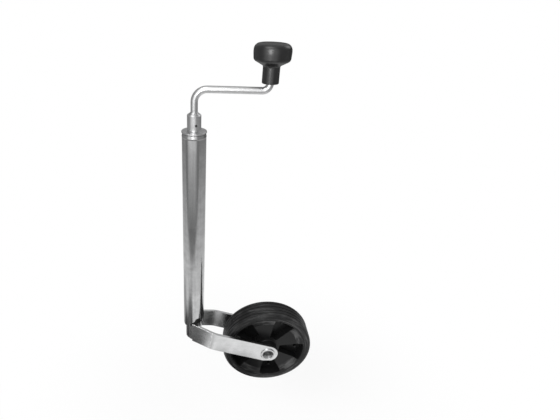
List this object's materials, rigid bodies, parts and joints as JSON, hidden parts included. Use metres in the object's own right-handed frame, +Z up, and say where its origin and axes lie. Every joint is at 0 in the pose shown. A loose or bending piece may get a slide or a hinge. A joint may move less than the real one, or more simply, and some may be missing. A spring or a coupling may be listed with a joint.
{
  "type": "jockey wheel",
  "caption": "Trailer jockey wheel: clamped steel tube, winding handle with round knob, inner leg with bent fork, and a moulded wheel with a solid rubber tyre.",
  "frame": {"origin": "on the outer tube's axis at the height where the trailer's clamp grips, 305 mm above the ground", "axes": "+Z up along the tube towards the crank, +X from the tube towards the wheel, Y along the axle"},
  "size_m": [0.2321, 0.066, 0.6066],
  "materials": {
    "zinc_tube": "bright zinc-plated steel tube, lightly drawn along its length",
    "zinc_inner_tube": "zinc-plated steel tube",
    "zinc_flat": "zinc-plated flat steel, satin",
    "zinc_turned": "zinc-plated turned steel",
    "zinc_rod": "zinc-plated round bar",
    "zinc_axle": "zinc-plated tube with rolled ends, bright",
    "zinc_weld": "zinc-plated weld bead",
    "screw_steel": "plain steel, greased",
    "washer_plastic": "natural plastic",
    "grip_plastic": "black moulded plastic, semi-matt",
    "rim_plastic": "black moulded plastic",
    "tyre_rubber": "black solid rubber"
  },
  "bodies": {
    "outer": {"outer_tube": "zinc_tube", "head_cap": "zinc_turned", "thrust_washer_plastic": "washer_plastic"},
    "crank": {"crank_handle": "zinc_rod", "crank_collar": "zinc_turned", "crank_weld": "zinc_weld", "roll_pin": "screw_steel", "lead_screw": "screw_steel", "thrust_washer_steel": "zinc_turned", "end_stop_ring": "screw_steel", "knob_retainer": "screw_steel"},
    "grip": {"knob": "grip_plastic", "knob_cap": "grip_plastic"},
    "leg": {"inner_tube": "zinc_inner_tube", "screw_nut": "screw_steel", "fork_arm_front": "zinc_flat", "fork_arm_rear": "zinc_flat", "fork_welds": "zinc_weld", "axle_tube": "zinc_axle", "side_washer_front": "zinc_turned", "side_washer_rear": "zinc_turned"},
    "wheel": {"wheel_rim": "rim_plastic", "tyre": "tyre_rubber"}
  },
  "joints": [
    {"name": "crank_spin", "type": "hinge", "parent": "outer", "child": "crank", "pos_m": [0, 0, 0.1], "axis": [0, 0, -1], "range_deg": [0, 18000]},
    {"name": "leg_slide", "type": "slide", "parent": "outer", "child": "leg", "axis": [0, 0, -1], "range_m": [0, 0.2]},
    {"name": "grip_spin", "type": "hinge", "parent": "crank", "child": "grip", "pos_m": [0.102, 0, 0.26], "axis": [0, 0, 1], "continuous": true},
    {"name": "wheel_spin", "type": "hinge", "parent": "leg", "child": "wheel", "pos_m": [0.134, 0, -0.225], "axis": [0, 1, 0], "continuous": true}
  ],
  "couplings": [
    {"joint": "leg_slide", "follows": "crank_spin", "m_per_rad": 0.00063662}
  ]
}
